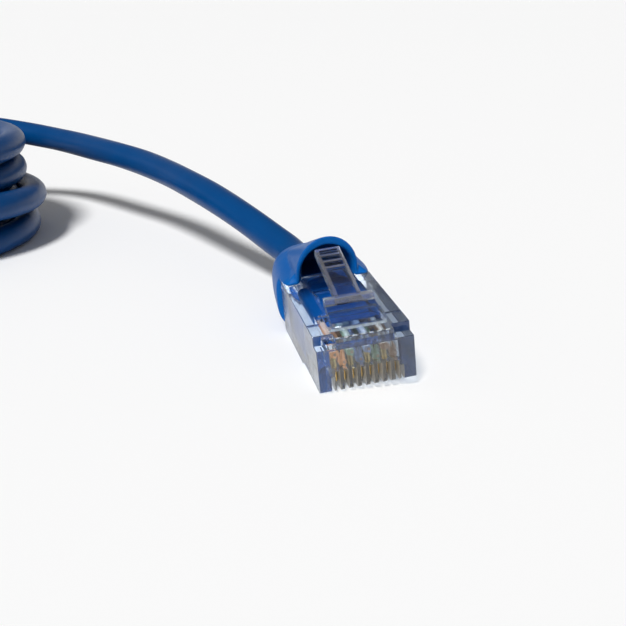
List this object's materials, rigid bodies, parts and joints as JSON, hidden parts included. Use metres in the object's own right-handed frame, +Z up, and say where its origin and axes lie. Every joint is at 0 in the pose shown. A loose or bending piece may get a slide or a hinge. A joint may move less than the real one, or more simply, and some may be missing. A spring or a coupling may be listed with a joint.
{
  "type": "ethernet patch cable",
  "caption": "Round network patch cable, coiled, with a clear modular plug, a spring latch and a soft hooded boot on each end.",
  "frame": {"origin": "on the table, under the middle of the first plug", "axes": "+X out of the first plug's mating end, +Z up from the table, +Y to the first plug's left"},
  "size_m": [0.1251, 0.1298, 0.0202],
  "materials": {
    "clear_housing": "clear, glossy",
    "boot": "soft, satin",
    "jacket": "soft, satin",
    "contact_gold": "polished",
    "wire_white_orange": "satin",
    "wire_orange": "satin",
    "wire_white_green": "satin",
    "wire_blue": "satin",
    "wire_white_blue": "satin",
    "wire_green": "satin",
    "wire_white_brown": "satin",
    "wire_brown": "satin"
  },
  "bodies": {
    "cable_and_plugs": {"plug_a_housing": "clear_housing", "plug_a_wire_guide": "clear_housing", "plug_a_jacket_end": "jacket", "plug_a_boot": "boot", "plug_a_contact_1": "contact_gold", "plug_a_contact_2": "contact_gold", "plug_a_contact_3": "contact_gold", "plug_a_contact_4": "contact_gold", "plug_a_contact_5": "contact_gold", "plug_a_contact_6": "contact_gold", "plug_a_contact_7": "contact_gold", "plug_a_contact_8": "contact_gold", "plug_a_wire_1": "wire_white_orange", "plug_a_wire_2": "wire_orange", "plug_a_wire_3": "wire_white_green", "plug_a_wire_4": "wire_blue", "plug_a_wire_5": "wire_white_blue", "plug_a_wire_6": "wire_green", "plug_a_wire_7": "wire_white_brown", "plug_a_wire_8": "wire_brown", "plug_b_housing": "clear_housing", "plug_b_wire_guide": "clear_housing", "plug_b_jacket_end": "jacket", "plug_b_boot": "boot", "plug_b_contact_1": "contact_gold", "plug_b_contact_2": "contact_gold", "plug_b_contact_3": "contact_gold", "plug_b_contact_4": "contact_gold", "plug_b_contact_5": "contact_gold", "plug_b_contact_6": "contact_gold", "plug_b_contact_7": "contact_gold", "plug_b_contact_8": "contact_gold", "plug_b_wire_1": "wire_white_orange", "plug_b_wire_2": "wire_orange", "plug_b_wire_3": "wire_white_green", "plug_b_wire_4": "wire_blue", "plug_b_wire_5": "wire_white_blue", "plug_b_wire_6": "wire_green", "plug_b_wire_7": "wire_white_brown", "plug_b_wire_8": "wire_brown", "cable_lead": "jacket", "cable_coil": "jacket", "cable_tail": "jacket"},
    "latch_a": {"plug_a_latch": "clear_housing"},
    "hood_a": {"plug_a_hood": "boot"},
    "latch_b": {"plug_b_latch": "clear_housing"},
    "hood_b": {"plug_b_hood": "boot"}
  },
  "joints": [
    {"name": "hood_a_press", "type": "hinge", "parent": "cable_and_plugs", "child": "hood_a", "pos_m": [-0.01217, -0.00058, 0.01094], "axis": [0.0067, 0.994, 0.1095], "range_deg": [0, 14], "stiffness_Nm_per_rad": 0.00005, "springref_deg": -17.19},
    {"name": "latch_a_press", "type": "hinge", "parent": "cable_and_plugs", "child": "latch_a", "pos_m": [0.01294, -0.00031, 0.00697], "axis": [0.0067, 0.994, 0.1095], "range_deg": [-13, 0], "stiffness_Nm_per_rad": 0.00005, "springref_deg": 17.19},
    {"name": "hood_b_press", "type": "hinge", "parent": "cable_and_plugs", "child": "hood_b", "pos_m": [-0.05008, -0.11124, 0.0101], "axis": [0.2147, 0.9767, 0], "range_deg": [0, 14], "stiffness_Nm_per_rad": 0.00005, "springref_deg": -17.19},
    {"name": "latch_b_press", "type": "hinge", "parent": "cable_and_plugs", "child": "latch_b", "pos_m": [-0.02537, -0.11667, 0.00765], "axis": [0.2147, 0.9767, 0], "range_deg": [-13, 0], "stiffness_Nm_per_rad": 0.00005, "springref_deg": 17.19}
  ],
  "couplings": [
    {"joint": "latch_a_press", "follows": "hood_a_press", "ratio": -0.928},
    {"joint": "latch_b_press", "follows": "hood_b_press", "ratio": -0.928}
  ]
}
